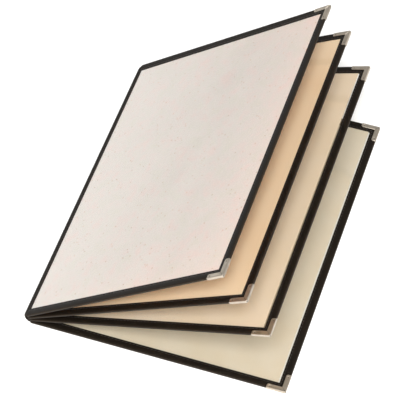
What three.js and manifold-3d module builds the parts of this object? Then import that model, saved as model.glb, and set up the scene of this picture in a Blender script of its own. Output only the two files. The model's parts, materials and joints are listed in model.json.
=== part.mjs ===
// Menu cover: a booklet of four bound leaves, each a clear pocket with a menu sheet in it.
// Millimetres, +Z up, +X from the spine to the fore-edge, +Y to the top of the page.
// The back cover lies on z = 0, and the other leaves stand open like a fan about the spine.

import * as THREE from 'three';
import { mergeVertices } from 'three/addons/utils/BufferGeometryUtils.js';
import Module from 'manifold-3d';

// Sheet that each pocket holds
const sheetWidth = 215.9;
const sheetHeight = 279.4;
const sheetThickness = 0.2;

// Clear pocket: two films with the sheet between them
const filmThickness = 0.25;
const layerGap = 0.1;

// Binding: a leatherette tape folded over the edge of the pocket
const bindingPly = 0.6;
const bindingWidth = 7.5;
const bindingRound = 0.45;
const bindingCornerRadius = 1.6;
const sheetTuck = 1.2;
const sheetPlay = 0.4;
const pocketSeat = 2.5;
const pocketClearance = 0.15;
const coverSetback = 2;
const innerSetback = 0.8;
const coverWindowStart = 3;
const innerWindowStart = 5.5;

// Metal corner: a folded channel crimped over the binding
const metalThickness = 0.4;
const cornerProud = 0.15;
const cornerArm = 17;
const cornerWidth = 4.2;
const cornerRound = 0.3;
const cornerTipRadius = 1.4;
const cornerEndRadius = 1.6;
const crimpGap = 0.1;
const dimpleRadius = 0.7;
const dimpleDepth = 0.2;
const dimpleInset = 2.6;

// Stack and spine
const leafGap = 0.1;
const spineFoldThickness = 1.8;
const seamGap = 0.3;
const foldStep = 12;

// Opening angle of each leaf from the back cover, in degrees
const leafThreeAngle = 20;
const leafTwoAngle = 30.6;
const frontCoverAngle = 38.2;

// Sizes that follow from the ones above
const pocketThickness = sheetThickness + 2 * filmThickness + 4 * layerGap;
const leafThickness = pocketThickness + 2 * bindingPly;
const metalStack = leafThickness + 2 * cornerProud;
const leafPitch = metalStack + leafGap;
const halfHeight = sheetHeight / 2 - sheetTuck + bindingWidth;
const windowEnd = coverWindowStart + sheetWidth + sheetPlay;
const leafReach = windowEnd + bindingWidth;
const windowHalfHeight = halfHeight - bindingWidth;
const coverOffset = 1.5 * leafPitch;
const innerOffset = 0.5 * leafPitch;
const axisHeight = coverOffset + metalStack / 2;
const outerFoldRadius = coverOffset + leafThickness / 2;
const innerFoldRadius = innerOffset + leafThickness / 2;
const axisX = (outerFoldRadius - leafReach - cornerProud) / 2;

// Materials
const leatherette = new THREE.MeshStandardMaterial({ color: 0x2b2826, roughness: 0.6 });
const clearFilm = new THREE.MeshStandardMaterial({
  color: 0xf4f1ea,
  roughness: 0.12,
  transparent: true,
  opacity: 0.25,
});
const parchment = new THREE.MeshStandardMaterial({ color: 0xe4ddd5, roughness: 0.8 });
const creamPaper = new THREE.MeshStandardMaterial({ color: 0xeae0cc, roughness: 0.8 });
const satinNickel = new THREE.MeshStandardMaterial({ color: 0xcdc5ba, roughness: 0.3, metalness: 1 });

// Solids for joining and cutting
const wasm = await Module();
wasm.setup();

function solidFrom(geometry) {
  const bare = geometry.clone();
  bare.deleteAttribute('normal');
  bare.deleteAttribute('uv');
  const merged = mergeVertices(bare, 1e-5);
  const mesh = new wasm.Mesh({
    numProp: 3,
    vertProperties: new Float32Array(merged.attributes.position.array),
    triVerts: new Uint32Array(merged.index.array),
  });
  return new wasm.Manifold(mesh);
}

function geometryFrom(solid) {
  const mesh = solid.getMesh();
  const geometry = new THREE.BufferGeometry();
  geometry.setAttribute('position', new THREE.BufferAttribute(new Float32Array(mesh.vertProperties), 3));
  geometry.setIndex(new THREE.BufferAttribute(new Uint32Array(mesh.triVerts), 1));
  geometry.computeVertexNormals();
  return geometry;
}

// A block between two corners
function block(x0, x1, y0, y1, z0, z1) {
  const geometry = new THREE.BoxGeometry(x1 - x0, y1 - y0, z1 - z0);
  geometry.translate((x0 + x1) / 2, (y0 + y1) / 2, (z0 + z1) / 2);
  return geometry;
}

// A flat plate of a given outline, centred on z = 0, with its edges rounded
function roundedPlate(shape, thickness, round) {
  const geometry = new THREE.ExtrudeGeometry(shape, {
    depth: thickness - 2 * round,
    bevelEnabled: true,
    bevelThickness: round,
    bevelSize: round,
    bevelOffset: -round,
    bevelSegments: 3,
    curveSegments: 5,
  });
  geometry.translate(0, 0, round - thickness / 2);
  return geometry;
}

// A plate with square edges, centred on z = 0
function squarePlate(shape, thickness) {
  const geometry = new THREE.ExtrudeGeometry(shape, {
    depth: thickness,
    bevelEnabled: false,
    curveSegments: 5,
  });
  geometry.translate(0, 0, -thickness / 2);
  return geometry;
}

// Outline of the metal corner at the top of the page, grown by a margin on every side
function cornerOutline(grow) {
  const right = leafReach + cornerProud + grow;
  const top = halfHeight + cornerProud + grow;
  const innerRight = leafReach + cornerProud - cornerWidth - grow;
  const innerTop = halfHeight + cornerProud - cornerWidth - grow;
  const left = leafReach + cornerProud - cornerArm - grow;
  const bottom = halfHeight + cornerProud - cornerArm - grow;
  const shape = new THREE.Shape();
  shape.moveTo(left, innerTop + cornerEndRadius);
  shape.quadraticCurveTo(left, innerTop, left + cornerEndRadius, innerTop);
  shape.lineTo(innerRight, innerTop);
  shape.lineTo(innerRight, bottom + cornerEndRadius);
  shape.quadraticCurveTo(innerRight, bottom, innerRight + cornerEndRadius, bottom);
  shape.lineTo(right, bottom);
  shape.lineTo(right, top - cornerTipRadius);
  shape.quadraticCurveTo(right, top, right - cornerTipRadius, top);
  shape.lineTo(left, top);
  shape.closePath();
  return shape;
}

// Frame of binding round one leaf, with the groove that grips the pocket
function bindingGeometry(setback, windowStart) {
  const overrun = 2 * leafThickness;
  const r = bindingCornerRadius;
  const outline = new THREE.Shape();
  outline.moveTo(-overrun, -halfHeight);
  outline.lineTo(leafReach - r, -halfHeight);
  outline.quadraticCurveTo(leafReach, -halfHeight, leafReach, r - halfHeight);
  outline.lineTo(leafReach, halfHeight - r);
  outline.quadraticCurveTo(leafReach, halfHeight, leafReach - r, halfHeight);
  outline.lineTo(-overrun, halfHeight);
  outline.closePath();
  const window = new THREE.Path();
  window.moveTo(windowStart, -windowHalfHeight);
  window.lineTo(windowStart, windowHalfHeight);
  window.lineTo(windowEnd, windowHalfHeight);
  window.lineTo(windowEnd, -windowHalfHeight);
  window.closePath();
  outline.holes.push(window);

  const reach = 2 * halfHeight;
  const spineTrim = block(-2 * overrun, setback, -reach, reach, -leafThickness, leafThickness);
  const groove = block(
    coverSetback - seamGap,
    windowEnd + pocketSeat,
    -windowHalfHeight - pocketSeat,
    windowHalfHeight + pocketSeat,
    -pocketThickness / 2,
    pocketThickness / 2,
  );

  // Under the metal the binding is pressed thinner and a little narrower
  const pressed = metalStack / 2 - metalThickness - crimpGap;
  const inset = metalThickness - cornerProud + crimpGap;
  const core = block(
    leafReach / 2,
    leafReach - inset,
    inset - halfHeight,
    halfHeight - inset,
    -pressed,
    pressed,
  );
  const topCrimp = squarePlate(cornerOutline(crimpGap), 2 * metalStack);
  const bottomCrimp = topCrimp.clone().rotateX(Math.PI);
  const crimps = solidFrom(topCrimp).add(solidFrom(bottomCrimp)).subtract(solidFrom(core));

  return geometryFrom(
    solidFrom(roundedPlate(outline, leafThickness, bindingRound))
      .subtract(solidFrom(spineTrim))
      .subtract(solidFrom(groove))
      .subtract(crimps),
  );
}

// Metal corner at the top of the page; the lower one is the same turned over
function cornerGeometry() {
  const right = leafReach + cornerProud;
  const top = halfHeight + cornerProud;
  const channel = metalStack / 2 - metalThickness;
  const inside = block(
    right - 2 * cornerArm,
    right - metalThickness,
    top - 2 * cornerArm,
    top - metalThickness,
    -channel,
    channel,
  );
  let solid = solidFrom(roundedPlate(cornerOutline(0), metalStack, cornerRound)).subtract(solidFrom(inside));
  const dimples = [
    [right - cornerArm + dimpleInset, top - cornerWidth / 2],
    [right - cornerWidth / 2, top - cornerArm + dimpleInset],
  ];
  for (const [x, y] of dimples) {
    for (const face of [-metalStack / 2, metalStack / 2]) {
      const punch = new THREE.CylinderGeometry(dimpleRadius, dimpleRadius, 2 * dimpleDepth, 12);
      punch.rotateX(Math.PI / 2).translate(x, y, face);
      solid = solid.subtract(solidFrom(punch));
    }
  }
  return geometryFrom(solid);
}

// Spine fold: an arc about the hinge axis with a flat lip at each end, which stops seamGap
// short of the bindings of the upper and the lower leaf
function foldGeometry(outerRadius, setback, upperAngle, lowerAngle) {
  const innerRadius = outerRadius - spineFoldThickness;
  const lip = setback - seamGap;
  const upper = THREE.MathUtils.degToRad(upperAngle);
  const lower = THREE.MathUtils.degToRad(lowerAngle);
  const sweep = Math.PI + lower - upper;
  const steps = Math.ceil(sweep / THREE.MathUtils.degToRad(foldStep));
  const origin = new THREE.Vector2();
  const edge = (radius) => {
    const points = [new THREE.Vector2(lip, radius).rotateAround(origin, upper)];
    for (let i = 0; i <= steps; i += 1) {
      points.push(new THREE.Vector2(0, radius).rotateAround(origin, upper + (sweep * i) / steps));
    }
    points.push(new THREE.Vector2(lip, -radius).rotateAround(origin, lower));
    return points;
  };
  const shape = new THREE.Shape([...edge(outerRadius), ...edge(innerRadius).reverse()]);
  const geometry = new THREE.ExtrudeGeometry(shape, { depth: 2 * halfHeight, bevelEnabled: false });
  geometry.rotateX(Math.PI / 2).translate(0, halfHeight, 0);
  return geometry;
}

const coverBinding = bindingGeometry(coverSetback, coverWindowStart);
const innerBinding = bindingGeometry(innerSetback, innerWindowStart);
const topCorner = cornerGeometry();
const bottomCorner = topCorner.clone().rotateX(Math.PI);
const film = block(
  coverSetback + pocketClearance,
  windowEnd + pocketSeat - pocketClearance,
  pocketClearance - windowHalfHeight - pocketSeat,
  windowHalfHeight + pocketSeat - pocketClearance,
  -filmThickness / 2,
  filmThickness / 2,
);

function addMesh(parent, name, geometry, material, z) {
  const mesh = new THREE.Mesh(geometry, material);
  mesh.name = name;
  mesh.position.z = z;
  parent.add(mesh);
}

// One leaf: binding, two films, the sheet and two metal corners
function makeLeaf(name, angle, offset, binding, sheetStart, paper) {
  const leaf = new THREE.Group();
  leaf.rotation.y = -THREE.MathUtils.degToRad(angle);
  const filmOffset = (sheetThickness + filmThickness) / 2 + layerGap;
  const sheet = block(
    sheetStart,
    sheetStart + sheetWidth,
    -sheetHeight / 2,
    sheetHeight / 2,
    -sheetThickness / 2,
    sheetThickness / 2,
  );
  addMesh(leaf, `${name}_binding`, binding, leatherette, offset);
  addMesh(leaf, `${name}_upper_film`, film, clearFilm, offset + filmOffset);
  addMesh(leaf, `${name}_menu_sheet`, sheet, paper, offset);
  addMesh(leaf, `${name}_lower_film`, film, clearFilm, offset - filmOffset);
  addMesh(leaf, `${name}_top_corner`, topCorner, satinNickel, offset);
  addMesh(leaf, `${name}_bottom_corner`, bottomCorner, satinNickel, offset);
  return leaf;
}

// The sheets of the front cover and leaf two start at the cover's window, and the other two lie
// against the spine fold, which leaves a clear strip at the fore-edge
const nearSheet = coverWindowStart;
const farSheet = coverSetback;

const menuCover = new THREE.Group();
menuCover.position.set(axisX, 0, axisHeight);
menuCover.add(makeLeaf('back_cover', 0, -coverOffset, coverBinding, farSheet, creamPaper));
menuCover.add(makeLeaf('leaf_three', leafThreeAngle, -innerOffset, innerBinding, farSheet, creamPaper));
menuCover.add(makeLeaf('leaf_two', leafTwoAngle, innerOffset, innerBinding, nearSheet, creamPaper));
menuCover.add(makeLeaf('front_cover', frontCoverAngle, coverOffset, coverBinding, nearSheet, parchment));

const outerFold = foldGeometry(outerFoldRadius, coverSetback, frontCoverAngle, 0);
const innerFold = foldGeometry(innerFoldRadius, innerSetback, leafTwoAngle, leafThreeAngle);
addMesh(menuCover, 'outer_spine_fold', outerFold, leatherette, 0);
addMesh(menuCover, 'inner_spine_fold', innerFold, leatherette, 0);

export default menuCover;
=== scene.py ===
import json
import math

import bmesh
import bpy
from bpy.props import FloatProperty, FloatVectorProperty, PointerProperty
from bpy.types import Operator, Panel, PropertyGroup
from mathutils import Matrix, Vector


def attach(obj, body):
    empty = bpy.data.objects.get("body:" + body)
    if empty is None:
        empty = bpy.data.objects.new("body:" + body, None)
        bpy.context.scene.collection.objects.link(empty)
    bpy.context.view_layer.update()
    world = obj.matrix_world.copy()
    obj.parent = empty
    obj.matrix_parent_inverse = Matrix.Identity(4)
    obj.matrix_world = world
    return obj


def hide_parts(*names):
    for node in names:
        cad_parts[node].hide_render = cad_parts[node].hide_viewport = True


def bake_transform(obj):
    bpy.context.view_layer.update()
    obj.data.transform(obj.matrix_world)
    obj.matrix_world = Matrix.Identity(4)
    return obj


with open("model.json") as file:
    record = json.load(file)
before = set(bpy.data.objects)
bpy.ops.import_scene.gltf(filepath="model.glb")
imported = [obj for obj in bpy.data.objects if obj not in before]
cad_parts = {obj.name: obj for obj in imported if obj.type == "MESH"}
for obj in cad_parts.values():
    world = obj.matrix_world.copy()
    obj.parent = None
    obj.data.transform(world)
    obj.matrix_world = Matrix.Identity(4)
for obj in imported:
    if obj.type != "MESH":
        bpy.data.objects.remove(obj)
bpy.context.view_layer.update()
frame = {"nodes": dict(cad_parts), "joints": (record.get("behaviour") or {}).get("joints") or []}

bl_info = {
    "name": "Menu Cover",
    "version": (1, 0, 0),
    "blender": (4, 5, 0),
    "location": "3D View > Sidebar > Menu Cover",
    "description": "Finishes a booklet menu cover with bound clear pockets and metal corners",
    "category": "Object",
}

MM = 0.001
HINGE = Vector(frame["joints"][0]["pos_m"])

# Two points closer than this are one
WELD = 0.001 * MM

# Width of the bar of binding at the spine, in mm from the hinge axis to the window
COVER_BAR = 3.0
INNER_BAR = 5.5

# How many pitches a leaf lies from the middle of the stack
COVER_PLACE = 1.5
INNER_PLACE = 0.5

# Each leaf: its body, opening angle in degrees, place in the stack, and width of its spine bar
LEAVES = (
    ("back_cover", 0.0, -COVER_PLACE, COVER_BAR),
    ("leaf_three", 20.0, -INNER_PLACE, INNER_BAR),
    ("leaf_two", 30.6, INNER_PLACE, INNER_BAR),
    ("front_cover", 38.2, COVER_PLACE, COVER_BAR),
)

# Section of the folded binding in mm: how far in from the outer edge, how high over the middle
# of the leaf, and how much of the lighter fold colour it takes there, which is wear and a painted
# highlight on the folded edges
BINDING_SECTION = (
    (0.06, 0.42, 1.0),
    (0.22, 0.74, 1.0),
    (0.50, 0.97, 0.8),
    (1.00, 1.08, 0.35),
    (2.00, 1.13, 0.1),
    (3.20, 1.15, 0.0),
    (4.40, 1.11, 0.0),
    (5.10, 1.02, 0.0),
    (5.60, 0.88, 0.0),
    (5.90, 0.84, 0.0),
    (6.20, 0.88, 0.0),
    (6.70, 0.96, 0.2),
    (7.10, 0.95, 0.6),
    (7.40, 0.84, 0.5),
    (7.49, 0.66, 0.1),
    (7.50, 0.47, 0.0),
)

# Height of the highest point of that section, in mm
BINDING_CREST = max(high for _, high, _ in BINDING_SECTION)

# Section of the metal corner: each step in, in mm, and up, as a share of its half height
CORNER_SECTION = (
    (0.001, 0.77),
    (0.04, 0.115),
    (0.11, 0.085),
    (0.15, 0.03),
)

# Section of a dimple or pin hole: each step in, as a share of its radius, and down, as a share
# of its depth
DISH_SECTION = ((0.2, 0.25), (0.3, 0.5), (0.2, 0.25))

# Cuts that round a spine corner of the binding, and steps along a spine fold
ROUND_STEPS = 6
FOLD_STEPS = 28

# Angles about the hinge, in degrees: straight down, and the upper end of the fold's lining and hem
DOWN = 270
LINING_END = 258


# Colour and node helpers


def linear(hex_colour):
    """An sRGB hex colour as linear red, green, blue and alpha."""
    channels = []
    for start in (1, 3, 5):
        share = int(hex_colour[start : start + 2], 16) / 255
        if share <= 0.04045:
            channels.append(share / 12.92)
        else:
            channels.append(((share + 0.055) / 1.055) ** 2.4)
    return tuple(channels) + (1.0,)


def add_node(tree, kind, values=None, links=None, **settings):
    """Adds a node, then gives it its settings, socket values and incoming links."""
    node = tree.nodes.new(kind)
    for name, value in settings.items():
        setattr(node, name, value)
    for socket, value in (values or {}).items():
        node.inputs[socket].default_value = value
    for socket, source in (links or {}).items():
        tree.links.new(source, node.inputs[socket])
    return node


def new_material(name):
    """An empty node material and its tree."""
    material = bpy.data.materials.new(name)
    material.use_nodes = True
    material.node_tree.nodes.clear()
    return material, material.node_tree


def ramp(tree, source, stops):
    """A colour ramp over source, with stops given as place and colour."""
    node = add_node(tree, "ShaderNodeValToRGB", links={"Fac": source})
    elements = node.color_ramp.elements
    elements[0].position, elements[0].color = stops[0]
    elements[1].position, elements[1].color = stops[-1]
    for place, colour in stops[1:-1]:
        element = elements.new(place)
        element.color = colour
    return node.outputs["Color"]


def noise(tree, place, size, detail=2.0, roughness=0.5):
    """Soft noise with features of about the given size."""
    return add_node(
        tree,
        "ShaderNodeTexNoise",
        values={"Scale": 1 / size, "Detail": detail, "Roughness": roughness},
        links={"Vector": place},
    )


def add_bump(tree, height, strength, distance):
    """A bump from a height."""
    return add_node(
        tree,
        "ShaderNodeBump",
        values={"Strength": strength, "Distance": distance},
        links={"Height": height},
    )


def spread(tree, source, low, high):
    """A noise, most of which lies from 0.3 to 0.7, spread from low to high."""
    return add_node(
        tree,
        "ShaderNodeMapRange",
        values={"From Min": 0.3, "From Max": 0.7, "To Min": low, "To Max": high},
        links={"Value": source},
    )


# Mesh helpers


def leaf_matrix(leaf):
    """From a leaf's own axes, with the hinge at x = 0 and its middle at z = 0, to the frame."""
    pitch = bpy.context.scene.menu_leaf.pitch
    _, angle, place, _ = leaf
    turn = Matrix.Rotation(-math.radians(angle), 4, "Y")
    return Matrix.Translation(HINGE) @ turn @ Matrix.Translation((0, 0, place * pitch))


def finish_piece(bm, name, material, sharp=40):
    """Turns a bmesh into an object with smooth faces and sharp edges past an angle."""
    mesh = bpy.data.meshes.new(name)
    bm.to_mesh(mesh)
    bm.free()
    mesh.polygons.foreach_set("use_smooth", [True] * len(mesh.polygons))
    mesh.set_sharp_from_angle(angle=math.radians(sharp))
    mesh.materials.append(material)
    piece = bpy.data.objects.new(name, mesh)
    bpy.context.scene.collection.objects.link(piece)
    return piece


def all_parts(bm):
    """Every vertex, edge and face of a bmesh."""
    return bm.verts[:] + bm.edges[:] + bm.faces[:]


def bisect(bm, place, normal, **options):
    """Cuts a whole bmesh along a plane."""
    return bmesh.ops.bisect_plane(
        bm, geom=all_parts(bm), plane_co=place, plane_no=normal, **options
    )


def inset(bm, faces, inward, up):
    """Insets faces evenly from their rim and moves them up."""
    bmesh.ops.inset_region(
        bm,
        faces=faces,
        thickness=inward,
        depth=up,
        use_even_offset=True,
        use_boundary=True,
    )


def mirror_under(bm, weld=WELD):
    """Adds the underside of a piece as the mirror image of its upper half."""
    bmesh.ops.mirror(
        bm, geom=all_parts(bm), matrix=Matrix.Identity(4), merge_dist=weld, axis="Z"
    )


# Settings


def length(name, description, millimetres):
    """A setting that is a length."""
    return FloatProperty(
        name=name, description=description, default=millimetres * MM, unit="LENGTH"
    )


class MENU_PG_leaf(PropertyGroup):
    """Sizes of a leaf and its binding"""

    reach: length("Reach", "From the hinge axis to the fore-edge of the binding", 226.8)
    half_height: length("Half Height", "From the middle of the leaf to its top edge", 146.0)
    spine_round: length("Spine Round", "Radius of the two corners of a leaf at the spine", 2.4)
    binding_width: length(
        "Binding Width",
        "Width of the binding tape that shows on each face",
        7.5,
    )
    pitch: length(
        "Leaf Pitch",
        "Distance between the middles of two leaves when the booklet is shut",
        2.7,
    )
    half_thickness: length("Half Thickness", "Half the thickness of a leaf over its binding", 1.15)
    fold_thickness: length(
        "Spine Fold Thickness",
        "Thickness of the soft material round the spine",
        1.8,
    )


class MENU_PG_corner(PropertyGroup):
    """Sizes of the folded metal corners"""

    arm: length("Arm Length", "Length of each arm", 17.0)
    width: length("Arm Width", "Width of each arm on the face", 4.2)
    proud: length("Stand Off", "How far the metal stands over the binding", 0.15)
    dimple: length("Dimple Radius", "Radius of the crimping dimples", 0.7)
    pin_hole: length("Pin Hole Radius", "Radius of the small hole at the tip", 0.35)
    seam: length("Mitre Seam", "Width of the mitre seam", 0.3)


class MENU_PG_stitch(PropertyGroup):
    """Sizes of the sewn seam"""

    inset: length("Seam Inset", "From the inner edge of the binding to the seam", 1.6)
    pitch: length("Stitch Pitch", "From one stitch to the next", 3.2)
    length: length("Stitch Length", "Length of thread that shows", 2.3)
    thread: length("Thread Width", "Width of the thread", 0.4)
    height: length("Seam Height", "From the middle of the leaf to the middle of the thread", 0.88)


class MENU_PG_colours(PropertyGroup):
    """Main colours"""

    binding: FloatVectorProperty(
        name="Leatherette",
        description="Colour of the binding",
        subtype="COLOR",
        size=4,
        default=linear("#15100b"),
    )
    parchment: FloatVectorProperty(
        name="Parchment",
        description="Colour of the sheet in the front cover",
        subtype="COLOR",
        size=4,
        default=linear("#eff3f5"),
    )


# Materials


def leatherette():
    """Embossed vinyl-coated cloth: low sheen, a pebbled grain, and a lighter colour on the folds
    that is wear and a painted highlight.
    """
    material, tree = new_material("embossed_leatherette")
    colour = bpy.context.scene.menu_colours.binding
    place = add_node(tree, "ShaderNodeTexCoord").outputs["Object"]
    # Pebbles of 0.9 mm, coarser than the real 0.4 mm so that they show
    pebbles = add_node(
        tree,
        "ShaderNodeTexVoronoi",
        values={"Scale": 1 / (0.9 * MM), "Randomness": 1.0},
        links={"Vector": place},
        feature="SMOOTH_F1",
    )
    # Pores of 0.3 mm between the pebbles
    pores = noise(tree, place, 0.3 * MM, 2.0)
    # Slow colour drift over about 40 mm
    drift = noise(tree, place, 40 * MM, 3.0)
    wear_and_highlight = add_node(tree, "ShaderNodeAttribute", attribute_name="wear_and_highlight").outputs["Fac"]
    tone = ramp(
        tree,
        drift.outputs["Fac"],
        [
            (0.3, [c * 0.85 for c in colour[:3]] + [1]),
            (0.7, [c * 1.15 for c in colour[:3]] + [1]),
        ],
    )
    # The folds take a lighter colour, which is wear and also a painted highlight along their edges
    worn_and_highlit = add_node(
        tree,
        "ShaderNodeMix",
        values={7: linear("#282119")},
        links={0: wear_and_highlight, 6: tone},
        data_type="RGBA",
    )
    valley = add_node(
        tree,
        "ShaderNodeMath",
        values={1: 0.35},
        links={0: pebbles.outputs["Distance"]},
        operation="MULTIPLY",
    )
    height = add_node(
        tree,
        "ShaderNodeMath",
        links={0: valley.outputs[0], 1: pores.outputs["Fac"]},
        operation="SUBTRACT",
    )
    bump = add_bump(tree, height.outputs[0], 0.35, 0.08 * MM)
    gloss = spread(tree, pores.outputs["Fac"], 0.42, 0.56)
    shader = add_node(
        tree,
        "ShaderNodeBsdfPrincipled",
        values={"IOR": 1.5, "Specular IOR Level": 0.12},
        links={
            "Base Color": worn_and_highlit.outputs[2],
            "Roughness": gloss.outputs[0],
            "Normal": bump.outputs["Normal"],
        },
    )
    add_node(tree, "ShaderNodeOutputMaterial", links={"Surface": shader.outputs[0]})
    return material


def sewing_thread():
    """Twisted polyester thread: matt, dark, with a fine diagonal twist."""
    material, tree = new_material("polyester_thread")
    place = add_node(tree, "ShaderNodeTexCoord").outputs["Object"]
    # Bands about 1.4 mm apart along the thread, as this wave repeats every 0.63 of its unit
    twist = add_node(
        tree,
        "ShaderNodeTexWave",
        values={"Scale": 1 / (2.198 * MM), "Distortion": 0.5},
        links={"Vector": place},
        bands_direction="DIAGONAL",
    )
    colour = ramp(
        tree, twist.outputs["Fac"], [(0.0, linear("#161514")), (1.0, linear("#33302e"))]
    )
    bump = add_bump(tree, twist.outputs["Fac"], 0.5, 0.05 * MM)
    shader = add_node(
        tree,
        "ShaderNodeBsdfPrincipled",
        values={"Roughness": 0.7, "Sheen Weight": 0.2},
        links={"Base Color": colour, "Normal": bump.outputs["Normal"]},
    )
    add_node(tree, "ShaderNodeOutputMaterial", links={"Surface": shader.outputs[0]})
    return material


def clear_vinyl():
    """Pressed vinyl film: clear, with a soft gloss and slow waves from its rollers."""
    material, tree = new_material("pressed_clear_vinyl")
    place = add_node(tree, "ShaderNodeTexCoord").outputs["Object"]
    # Waves about 60 mm long, and a fine haze of 3 mm
    waves = noise(tree, place, 60 * MM, 1.0)
    haze = noise(tree, place, 3 * MM, 2.0)
    bump = add_bump(tree, waves.outputs["Fac"], 0.5, 1.2 * MM)
    dull = spread(tree, haze.outputs["Fac"], 0.07, 0.13)
    see = add_node(tree, "ShaderNodeBsdfTransparent", values={"Color": (0.985, 0.98, 0.965, 1)})
    mirror = add_node(
        tree,
        "ShaderNodeBsdfGlossy",
        values={"Color": (1, 1, 1, 1)},
        links={"Roughness": dull.outputs[0], "Normal": bump.outputs["Normal"]},
    )
    # Gloss of 4 percent face on, rising to a mirror at grazing angles on both faces of the film
    facing = add_node(tree, "ShaderNodeLayerWeight", values={"Blend": 0.5})
    graze = add_node(
        tree,
        "ShaderNodeMath",
        values={1: 5.0},
        links={0: facing.outputs["Facing"]},
        operation="POWER",
    )
    share = add_node(
        tree,
        "ShaderNodeMath",
        values={1: 0.96, 2: 0.04},
        links={0: graze.outputs[0]},
        operation="MULTIPLY_ADD",
    )
    mix = add_node(
        tree,
        "ShaderNodeMixShader",
        links={0: share.outputs[0], 1: see.outputs[0], 2: mirror.outputs[0]},
    )
    add_node(tree, "ShaderNodeOutputMaterial", links={"Surface": mix.outputs[0]})
    return material


def finish_paper(tree, place, colour, share, warmth):
    """Gives a sheet its tooth, lets a share of the light through and ends the tree."""
    # Tooth of 0.5 mm
    tooth = noise(tree, place, 0.5 * MM, 3.0)
    bump = add_bump(tree, tooth.outputs["Fac"], 0.25, 0.04 * MM)
    shader = add_node(
        tree,
        "ShaderNodeBsdfPrincipled",
        values={"Roughness": 0.85, "Specular IOR Level": 0.2},
        links={"Base Color": colour, "Normal": bump.outputs["Normal"]},
    )
    through = add_node(tree, "ShaderNodeBsdfTranslucent", values={"Color": linear(warmth)})
    mix = add_node(
        tree,
        "ShaderNodeMixShader",
        values={0: share},
        links={1: shader.outputs[0], 2: through.outputs[0]},
    )
    add_node(tree, "ShaderNodeOutputMaterial", links={"Surface": mix.outputs[0]})


def menu_paper(name, colour, warm):
    """Uncoated menu paper: matt, with a faint cloud and a felt tooth."""
    material, tree = new_material(name)
    place = add_node(tree, "ShaderNodeTexCoord").outputs["Object"]
    # Cloudy formation over about 25 mm
    cloud = noise(tree, place, 25 * MM, 4.0)
    tint = ramp(tree, cloud.outputs["Fac"], [(0.35, colour), (0.65, warm)])
    finish_paper(tree, place, tint, 0.28, "#ffcf88")
    return material


def parchment_paper():
    """Recycled parchment paper: off-white and mottled, with brown, green and pink specks."""
    material, tree = new_material("speckled_parchment_paper")
    colour = bpy.context.scene.menu_colours.parchment
    place = add_node(tree, "ShaderNodeTexCoord").outputs["Object"]
    # Mottling over about 12 mm
    mottle = noise(tree, place, 12 * MM, 5.0, 0.6)
    tint = ramp(
        tree,
        mottle.outputs["Fac"],
        [
            (0.34, linear("#ebf1ef")),
            (0.50, tuple(colour)),
            (0.66, linear("#f3eef0")),
        ],
    )
    # Specks up to about 1.3 mm across, coarser than real ones so that they show, one to a cell
    # of 5.5 mm
    cells = add_node(
        tree,
        "ShaderNodeTexVoronoi",
        values={"Scale": 1 / (5.5 * MM)},
        links={"Vector": place},
    )
    speck = ramp(
        tree,
        cells.outputs["Distance"],
        [(0.09, (1, 1, 1, 1)), (0.15, (0, 0, 0, 1))],
    )
    kind = add_node(tree, "ShaderNodeSeparateColor", links={"Color": cells.outputs["Color"]})
    speck_colour = ramp(
        tree,
        kind.outputs["Red"],
        [
            (0.00, linear("#bd9264")),
            (0.35, linear("#a8a17e")),
            (0.60, linear("#d2a88f")),
            (1.00, linear("#e0d3c1")),
        ],
    )
    faint = add_node(
        tree, "ShaderNodeMath", values={1: 0.7}, links={0: speck}, operation="MULTIPLY"
    )
    mixed = add_node(
        tree,
        "ShaderNodeMix",
        links={0: faint.outputs[0], 6: tint, 7: speck_colour},
        data_type="RGBA",
    )
    finish_paper(tree, place, mixed.outputs[2], 0.32, "#ffbe50")
    return material


def satin_nickel():
    """Nickel-plated stamped steel: satin, tumbled rather than brushed, with slow stains."""
    material, tree = new_material("satin_nickel_plate")
    place = add_node(tree, "ShaderNodeTexCoord").outputs["Object"]
    # Tumbling marks of 0.4 mm and slow stains over 6 mm
    marks = noise(tree, place, 0.4 * MM, 3.0)
    stain = noise(tree, place, 6 * MM, 3.0)
    colour = ramp(
        tree, stain.outputs["Fac"], [(0.35, linear("#b4aa9c")), (0.65, linear("#c2b8aa"))]
    )
    dull = spread(tree, marks.outputs["Fac"], 0.38, 0.5)
    bump = add_bump(tree, marks.outputs["Fac"], 0.2, 0.02 * MM)
    shader = add_node(
        tree,
        "ShaderNodeBsdfPrincipled",
        values={"Metallic": 1.0},
        links={
            "Base Color": colour,
            "Roughness": dull.outputs[0],
            "Normal": bump.outputs["Normal"],
        },
    )
    add_node(tree, "ShaderNodeOutputMaterial", links={"Surface": shader.outputs[0]})
    return material


def matt_floor():
    """Matt white studio floor: plain paint with a very faint cloud."""
    material, tree = new_material("matt_white_floor")
    place = add_node(tree, "ShaderNodeTexCoord").outputs["Object"]
    # Cloud over a third of a metre
    cloud = noise(tree, place, 1 / 3)
    colour = ramp(
        tree, cloud.outputs["Fac"], [(0.0, linear("#f6f6f5")), (1.0, linear("#fafaf9"))]
    )
    shader = add_node(
        tree,
        "ShaderNodeBsdfPrincipled",
        values={"Roughness": 0.9, "Specular IOR Level": 0.1},
        links={"Base Color": colour},
    )
    add_node(tree, "ShaderNodeOutputMaterial", links={"Surface": shader.outputs[0]})
    return material


# Operators


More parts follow.
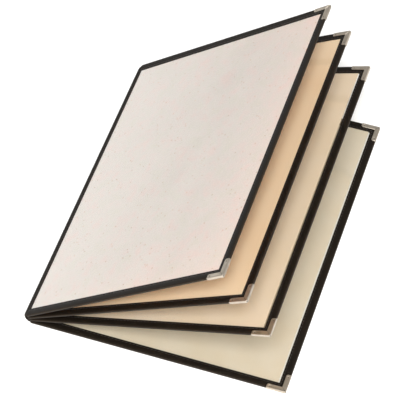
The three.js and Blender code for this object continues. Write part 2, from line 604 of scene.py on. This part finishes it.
class MENU_OT_stage(Operator):
    """Adds the floor, the soft lights and the camera"""

    bl_idname = "menu.stage"
    bl_label = "Stage"

    def execute(self, context):
        scene = context.scene
        scene.view_settings.view_transform = "Standard"

        bm = bmesh.new()
        bmesh.ops.create_grid(bm, x_segments=1, y_segments=1, size=4.0)
        floor = finish_piece(bm, "studio_floor", matt_floor())

        world = bpy.data.worlds.new("soft_daylight")
        world.use_nodes = True
        sky = world.node_tree.nodes["Background"].inputs
        sky["Color"].default_value = (1.0, 0.99, 0.975, 1)
        sky["Strength"].default_value = 0.5
        scene.world = world

        # Name, place, size, power and colour of each soft light, all aimed at the booklet
        for name, place, size, power, colour in (
            ("key_light", (0.62, -1.75, 2.95), 1.2, 152.0, "#ffffff"),
            ("low_fill_light", (0.4, -3.4, 1.3), 1.4, 36.0, "#fff6ea"),
        ):
            lamp = bpy.data.lights.new(name, "AREA")
            lamp.color = linear(colour)[:3]
            lamp.shape = "SQUARE"
            lamp.size = size
            lamp.energy = power
            light = bpy.data.objects.new(name, lamp)
            aim = Vector((0, 0, 0.05)) - Vector(place)
            turn = aim.to_track_quat("-Z", "Y").to_matrix().to_4x4()
            light.matrix_world = Matrix.Translation(place) @ turn
            scene.collection.objects.link(light)

        # The camera looks down on the booklet from past its bottom edge, rolled a little. Its
        # place and lens were fitted to the photo: angles in degrees and lengths in mm
        azimuth = math.radians(20.70)
        elevation = math.radians(53.38)
        roll = math.radians(-2.54)
        distance, shift_right, shift_down = 1626, 5.84, 0.78
        aim_out, aim_up = 98.0, 28.5
        focal_pixels, photo_pixels, sensor = 1876, 400, 36.0
        back = Vector(
            (
                math.sin(azimuth) * math.cos(elevation),
                -math.cos(azimuth) * math.cos(elevation),
                math.sin(elevation),
            )
        )
        level = Vector((math.cos(azimuth), math.sin(azimuth), 0))
        raised = back.cross(level)
        right = math.cos(roll) * level + math.sin(roll) * raised
        up = math.cos(roll) * raised - math.sin(roll) * level
        target = Vector((HINGE.x + aim_out * MM, 0, aim_up * MM))
        place = target + right * shift_right * MM - up * shift_down * MM + back * distance * MM
        data = bpy.data.cameras.new("photo_camera")
        data.sensor_fit = "HORIZONTAL"
        data.sensor_width = sensor
        data.lens = focal_pixels / photo_pixels * sensor
        camera = bpy.data.objects.new("photo_camera", data)
        turn = Matrix((right, up, back)).transposed().to_4x4()
        camera.matrix_world = Matrix.Translation(place) @ turn
        scene.collection.objects.link(camera)
        scene.camera = camera
        return {"FINISHED"}


class MENU_OT_pockets(Operator):
    """Gives the clear films and the menu sheets their finish"""

    bl_idname = "menu.pockets"
    bl_label = "Pockets and Sheets"

    def execute(self, context):
        film = clear_vinyl()
        papers = {
            "front_cover": parchment_paper(),
            "leaf_two": menu_paper("warm_cream_paper", linear("#ede2c8"), linear("#ebdec2")),
            "leaf_three": menu_paper("cream_paper", linear("#dfdacb"), linear("#dcd6c4")),
            "back_cover": menu_paper("pale_cream_paper", linear("#d8d5c6"), linear("#d5d0be")),
        }
        for body, _, _, _ in LEAVES:
            for node, material in (
                ("upper_film", film),
                ("lower_film", film),
                ("menu_sheet", papers[body]),
            ):
                mesh = frame["nodes"][f"{body}_{node}"].data
                mesh.materials.clear()
                mesh.materials.append(material)
        return {"FINISHED"}


class MENU_OT_bindings(Operator):
    """Models the folded leatherette binding round each leaf"""

    bl_idname = "menu.bindings"
    bl_label = "Bindings"

    def execute(self, context):
        size = context.scene.menu_leaf
        tape = leatherette()
        for leaf in LEAVES:
            body, _, _, spine_bar = leaf
            left = spine_bar * MM - size.binding_width
            bm = bmesh.new()
            wear_and_highlight = bm.verts.layers.float.new("wear_and_highlight")
            bmesh.ops.create_grid(bm, x_segments=1, y_segments=1, size=1.0)
            half_width = (size.reach - left) / 2
            bmesh.ops.scale(bm, vec=(half_width, size.half_height, 1), verts=bm.verts)
            bmesh.ops.translate(bm, vec=(left + half_width, 0, 0), verts=bm.verts)
            # The outer rim takes the full lighter fold colour: wear and a painted highlight
            for vert in bm.verts:
                vert[wear_and_highlight] = 1.0
            bm.faces.ensure_lookup_table()
            middle = bm.faces[0]
            last_in, last_high = 0.0, 0.0
            for far_in, high, wear_and_highlight_share in BINDING_SECTION:
                inset(bm, [middle], (far_in - last_in) * MM, (high - last_high) * MM)
                for vert in middle.verts:
                    vert[wear_and_highlight] = wear_and_highlight_share
                last_in, last_high = far_in, high
            bmesh.ops.delete(bm, geom=[middle], context="FACES_ONLY")
            mirror_under(bm)
            rims = [edge for edge in bm.edges if edge.is_boundary]
            bmesh.ops.bridge_loops(bm, edges=rims)

            # At the hinge line the tape is cut off and closed
            cut = bisect(bm, (0, 0, 0), (1, 0, 0), clear_inner=True)
            edges = [part for part in cut["geom_cut"] if isinstance(part, bmesh.types.BMEdge)]
            bmesh.ops.contextual_create(bm, geom=edges)

            # The tape turns in at the two spine corners, which rounds them
            radius = size.spine_round
            for step in range(1, ROUND_STEPS + 1):
                turned = math.radians(90 * step / ROUND_STEPS)
                bisect(bm, (radius * (1 - math.cos(turned)), 0, 0), (1, 0, 0))
            for vert in bm.verts:
                inside = radius - vert.co.x
                share = (abs(vert.co.y) - size.half_height) / size.binding_width + 1
                if inside > 0 and share > 0:
                    drop = radius - math.sqrt(max(0.0, radius**2 - inside**2))
                    vert.co.y -= math.copysign(drop * share, vert.co.y)
            bmesh.ops.recalc_face_normals(bm, faces=bm.faces)
            bmesh.ops.transform(bm, matrix=leaf_matrix(leaf), verts=bm.verts)
            piece = finish_piece(bm, f"{body}_folded_binding", tape)
            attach(piece, body)
            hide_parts(f"{body}_binding")
        return {"FINISHED"}


class MENU_OT_stitches(Operator):
    """Sews the thread that closes the binding over each pocket"""

    bl_idname = "menu.stitches"
    bl_label = "Stitches"

    def execute(self, context):
        size = context.scene.menu_leaf
        seam = context.scene.menu_stitch
        thread = sewing_thread()
        top = size.half_height - size.binding_width + seam.inset
        fore_edge = size.reach - size.binding_width + seam.inset
        for leaf in LEAVES:
            body, _, _, spine_bar = leaf
            spine = spine_bar * MM - seam.inset
            rows = (
                (Vector((spine, top, 0)), Vector((fore_edge, top, 0))),
                (Vector((fore_edge, top, 0)), Vector((fore_edge, -top, 0))),
                (Vector((fore_edge, -top, 0)), Vector((spine, -top, 0))),
                (Vector((spine, -top, 0)), Vector((spine, top, 0))),
            )
            bm = bmesh.new()
            # A cover has no row of stitches at its spine
            for start, end in rows if spine_bar > COVER_BAR else rows[:3]:
                run = end - start
                count = round(run.length / seam.pitch)
                turn = Matrix.Rotation(math.atan2(run.y, run.x), 4, "Z")
                half_size = (seam.length / 2, seam.thread / 2, seam.thread / 3, 1)
                shape = turn @ Matrix.Diagonal(half_size)
                first = bmesh.ops.create_uvsphere(
                    bm,
                    u_segments=8,
                    v_segments=4,
                    radius=1.0,
                    matrix=Matrix.Translation(start + run * 0.5 / count) @ shape,
                )["verts"]
                edges = {edge for vert in first for edge in vert.link_edges}
                faces = {face for vert in first for face in vert.link_faces}
                bmesh.ops.spin(
                    bm,
                    geom=first + list(edges) + list(faces),
                    cent=(0, 0, 0),
                    axis=(0, 0, 1),
                    angle=0.0,
                    dvec=run / count,
                    steps=count - 1,
                    use_duplicate=True,
                )
            bmesh.ops.translate(bm, vec=(0, 0, seam.height), verts=bm.verts)
            mirror_under(bm, weld=0.0)
            bmesh.ops.recalc_face_normals(bm, faces=bm.faces)
            bmesh.ops.transform(bm, matrix=leaf_matrix(leaf), verts=bm.verts)
            piece = finish_piece(bm, f"{body}_stitches", thread, sharp=80)
            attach(piece, body)
        return {"FINISHED"}


class MENU_OT_corners(Operator):
    """Models the folded metal corners with their dimples, pin hole and mitre seam"""

    bl_idname = "menu.corners"
    bl_label = "Metal Corners"

    def upper_half(self, context):
        """The upper half of the corner at the top of a leaf, open at z = 0."""
        leaf = context.scene.menu_leaf
        size = context.scene.menu_corner
        right = leaf.reach + size.proud
        top = leaf.half_height + size.proud
        high = leaf.half_thickness + size.proud
        bm = bmesh.new()
        outline = (
            (right - size.arm, top),
            (right - size.arm, top - size.width),
            (right - size.width, top - size.width),
            (right - size.width, top - size.arm),
            (right, top - size.arm),
            (right, top),
        )
        corners = [bm.verts.new((x, y, 0)) for x, y in outline]
        bm.faces.new(corners)
        end_round, tip_round = 1.6 * MM, 1.2 * MM
        for corner, radius in ((1, end_round), (3, end_round), (5, tip_round)):
            bmesh.ops.bevel(
                bm,
                geom=[corners[corner]],
                offset=radius,
                offset_type="OFFSET",
                affect="VERTICES",
                segments=5,
                profile=0.5,
                material=-1,
            )
        bm.faces.ensure_lookup_table()
        middle = bm.faces[0]
        if middle.normal.z < 0:
            bmesh.ops.reverse_faces(bm, faces=[middle])

        # The wall, then the rounding of the folded edge
        for inward, up in CORNER_SECTION:
            inset(bm, [middle], inward * MM, high * up)
        rim = middle.edges[:]
        bmesh.ops.delete(bm, geom=[middle], context="FACES_ONLY")
        height = max(vert.co.z for vert in bm.verts)

        # Crimping dimples near the ends of the arms, and the pin hole at the tip
        dimple_in, dimple_depth = 2.6 * MM, 0.35 * MM
        pin_in, pin_depth = 1.5 * MM, 1.2 * MM
        rings = []
        for x, y, radius, deep in (
            (right - size.arm + dimple_in, top - size.width / 2, size.dimple, dimple_depth),
            (right - size.width / 2, top - size.arm + dimple_in, size.dimple, dimple_depth),
            (right - pin_in, top - pin_in, size.pin_hole, pin_depth),
        ):
            made = bmesh.ops.create_circle(
                bm,
                cap_ends=False,
                segments=16,
                radius=radius,
                matrix=Matrix.Translation((x, y, height)),
            )
            ring = list({edge for vert in made["verts"] for edge in vert.link_edges})
            rings.append((ring, radius, deep))
        edges = rim + [edge for ring, _, _ in rings for edge in ring]
        bmesh.ops.triangle_fill(bm, use_beauty=False, use_dissolve=False, edges=edges)
        for ring, radius, deep in rings:
            dish = bmesh.ops.contextual_create(bm, geom=ring)["faces"]
            if dish[0].normal.z < 0:
                bmesh.ops.reverse_faces(bm, faces=dish)
            for inward, down in DISH_SECTION:
                inset(bm, dish, inward * radius, -down * deep)

        # The mitre seam is a groove on the diagonal from the inner corner to the tip
        for offset in (-size.seam / 2, 0.0, size.seam / 2):
            bisect(bm, (right, top + offset * math.sqrt(2), 0), (1, -1, 0))
        surface = height - 0.01 * MM
        groove = [
            vert
            for vert in bm.verts
            if vert.co.z > surface and abs((vert.co.x - right) - (vert.co.y - top)) < WELD
        ]
        bmesh.ops.translate(bm, vec=(0, 0, -size.seam), verts=groove)
        return bm

    def execute(self, context):
        metal = satin_nickel()
        for leaf in LEAVES:
            body = leaf[0]
            for name, flip in (("top_corner", 0.0), ("bottom_corner", math.pi)):
                bm = self.upper_half(context)
                mirror_under(bm)
                bmesh.ops.recalc_face_normals(bm, faces=bm.faces)
                turn = Matrix.Rotation(flip, 4, "X")
                bmesh.ops.transform(bm, matrix=leaf_matrix(leaf) @ turn, verts=bm.verts)
                piece = finish_piece(bm, f"{body}_{name}_metal", metal, sharp=50)
                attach(piece, body)
                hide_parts(f"{body}_{name}")
        return {"FINISHED"}


class MENU_OT_spine(Operator):
    """Models the soft folds round the spine"""

    bl_idname = "menu.spine"
    bl_label = "Spine Folds"

    def fold(self, context, name, place, edge, start, end, sink, tape):
        """An arc about the hinge, from one angle to another, as thick as the spine material."""
        size = context.scene.menu_leaf
        bm = bmesh.new()
        wear_and_highlight = bm.verts.layers.float.new("wear_and_highlight")

        # Across the spine it keeps the section of the binding as far in as edge, then runs level
        # The outer edge of the fold takes the full lighter colour of wear and painted highlight,
        # the level run none
        section = [(0.0, 0.0, 1.0)] + [step for step in BINDING_SECTION if step[0] < edge]
        section.append((edge, BINDING_CREST, 0.0))
        centre = place * size.pitch - sink * MM
        half = size.half_height
        points = []
        for far_in, high, wear_and_highlight_share in section:
            points.append((far_in * MM - half, centre + high * MM, wear_and_highlight_share))
        for far_in, high, wear_and_highlight_share in reversed(section):
            points.append((half - far_in * MM, centre + high * MM, wear_and_highlight_share))
        inner = centre + size.half_thickness - size.fold_thickness
        inner_set_in = 1.2 * MM
        points += [(half - inner_set_in, inner, 0.0), (inner_set_in - half, inner, 0.0)]
        verts = []
        for y, radius, wear_and_highlight_share in points:
            vert = bm.verts.new((radius, y, 0))
            vert[wear_and_highlight] = wear_and_highlight_share
            verts.append(vert)
        face = bmesh.ops.contextual_create(bm, geom=verts)["faces"]
        bmesh.ops.rotate(
            bm,
            cent=(0, 0, 0),
            matrix=Matrix.Rotation(-math.radians(start), 3, "Y"),
            verts=bm.verts,
        )
        bmesh.ops.spin(
            bm,
            geom=face + list(face[0].edges),
            cent=(0, 0, 0),
            axis=(0, 1, 0),
            angle=-math.radians(end - start),
            steps=FOLD_STEPS,
            use_merge=False,
        )
        bmesh.ops.remove_doubles(bm, verts=bm.verts, dist=WELD)
        bmesh.ops.recalc_face_normals(bm, faces=bm.faces)

        # The ends draw in, most of all round the nose of the spine
        end_length, end_draw, nose_draw = 8 * MM, 1.2 * MM, 1.6 * MM
        for vert in bm.verts:
            if abs(vert.co.y) > half - end_length:
                nose = max(0.0, -vert.co.x) / (centre + size.half_thickness)
                vert.co.y -= math.copysign(end_draw + nose_draw * nose**2, vert.co.y)
        bmesh.ops.translate(bm, vec=HINGE, verts=bm.verts)
        piece = finish_piece(bm, name, tape)
        return piece

    def arc_point(self, radius, degrees):
        """A point of the arc about the hinge, as a tuple in metres."""
        angle = math.radians(degrees)
        return (HINGE.x + radius * math.cos(angle), 0, HINGE.z + radius * math.sin(angle))

    def execute(self, context):
        tape = leatherette()
        angles = {body: angle for body, angle, _, _ in LEAVES}

        # How far in the two folds keep the section of the binding, in mm
        cover_edge, inner_edge = 4.5, 2.0

        # The cover's fold is three layers: name, lower and upper body, upper end, and how far
        # under the fold it lies in mm
        front = 90 + angles["front_cover"]
        for name, lower, upper, end, sink in (
            ("cover_spine_fold", "leaf_two", "front_cover", front, 0.0),
            ("cover_spine_lining", "leaf_three", "leaf_two", LINING_END, 0.1),
            ("cover_spine_hem", "back_cover", "leaf_three", LINING_END, 0.2),
        ):
            piece = self.fold(context, name, COVER_PLACE, cover_edge, end, DOWN, sink, tape)
            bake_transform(piece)
            if name == "cover_spine_fold":
                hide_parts("outer_spine_fold")

        # The inner fold is one layer
        low = DOWN + angles["leaf_three"]
        high = 90 + angles["leaf_two"]
        name = "inner_spread_fold"
        piece = self.fold(context, name, INNER_PLACE, inner_edge, high, low, 0.0, tape)
        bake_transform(piece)
        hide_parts("inner_spine_fold")
        return {"FINISHED"}


class MENU_PT_panel(Panel):
    """Panel with the sizes, the colours and the steps"""

    bl_idname = "MENU_PT_panel"
    bl_label = "Menu Cover"
    bl_space_type = "VIEW_3D"
    bl_region_type = "UI"
    bl_category = "Menu Cover"

    def draw(self, context):
        for group in (
            context.scene.menu_leaf,
            context.scene.menu_corner,
            context.scene.menu_stitch,
            context.scene.menu_colours,
        ):
            box = self.layout.box()
            for name in group.__annotations__:
                box.prop(group, name)
        for step in STEPS:
            self.layout.operator(step.bl_idname)


GROUPS = (
    ("menu_leaf", MENU_PG_leaf),
    ("menu_corner", MENU_PG_corner),
    ("menu_stitch", MENU_PG_stitch),
    ("menu_colours", MENU_PG_colours),
)
STEPS = (
    MENU_OT_stage,
    MENU_OT_pockets,
    MENU_OT_bindings,
    MENU_OT_stitches,
    MENU_OT_corners,
    MENU_OT_spine,
)


def register():
    for name, group in GROUPS:
        bpy.utils.register_class(group)
        setattr(bpy.types.Scene, name, PointerProperty(type=group))
    for step in STEPS:
        bpy.utils.register_class(step)
    bpy.utils.register_class(MENU_PT_panel)


def unregister():
    bpy.utils.unregister_class(MENU_PT_panel)
    for step in reversed(STEPS):
        bpy.utils.unregister_class(step)
    for name, group in reversed(GROUPS):
        delattr(bpy.types.Scene, name)
        bpy.utils.unregister_class(group)


def main():
    register()
    bpy.ops.menu.stage()
    bpy.ops.menu.pockets()
    bpy.ops.menu.bindings()
    bpy.ops.menu.stitches()
    bpy.ops.menu.corners()
    bpy.ops.menu.spine()


if __name__ == "__main__":
    main()
